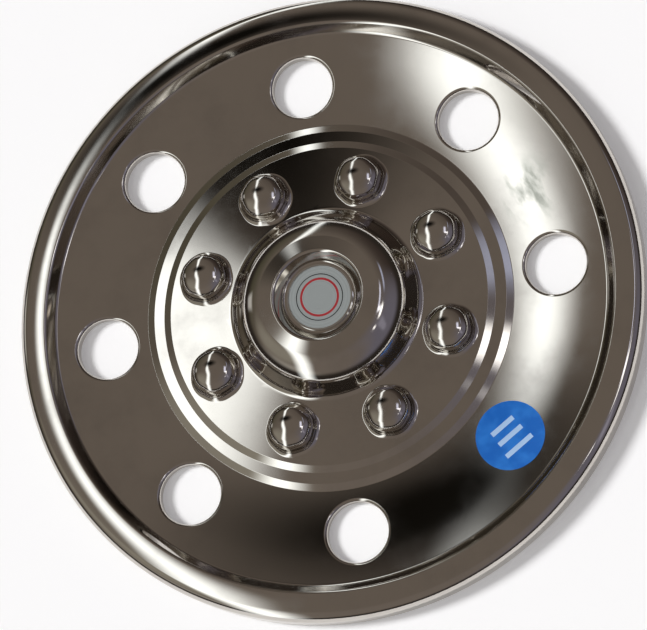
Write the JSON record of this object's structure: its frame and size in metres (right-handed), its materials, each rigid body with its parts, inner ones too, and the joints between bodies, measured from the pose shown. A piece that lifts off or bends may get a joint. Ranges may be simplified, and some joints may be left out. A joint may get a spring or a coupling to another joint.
{
  "type": "wheel cover",
  "caption": "Pressed, mirror-polished wheel cover with a domed hub, nut-shaped bulges, round hand holes and a rolled rim; spring clips behind hold it on a truck or trailer wheel.",
  "frame": {"origin": "on the wheel's axis at the level of the hem's underside, where the cover rests", "axes": "+Z is the wheel's axis, out of the polished face; +X passes through the middle of a hand hole"},
  "size_m": [0.407, 0.407, 0.0366],
  "materials": {
    "polished_stainless": "mirror polished",
    "satin_badge": "satin",
    "blue_vinyl": "gloss film",
    "spring_steel": "plain zinc"
  },
  "bodies": {
    "root": {"wheel_cover": "polished_stainless", "centre_badge": "satin_badge", "valve_sticker": "blue_vinyl", "retention_clip_1": "spring_steel", "retention_clip_2": "spring_steel", "retention_clip_3": "spring_steel", "retention_clip_4": "spring_steel", "retention_clip_5": "spring_steel", "retention_clip_6": "spring_steel", "retention_clip_7": "spring_steel", "retention_clip_8": "spring_steel"}
  },
  "joints": []
}
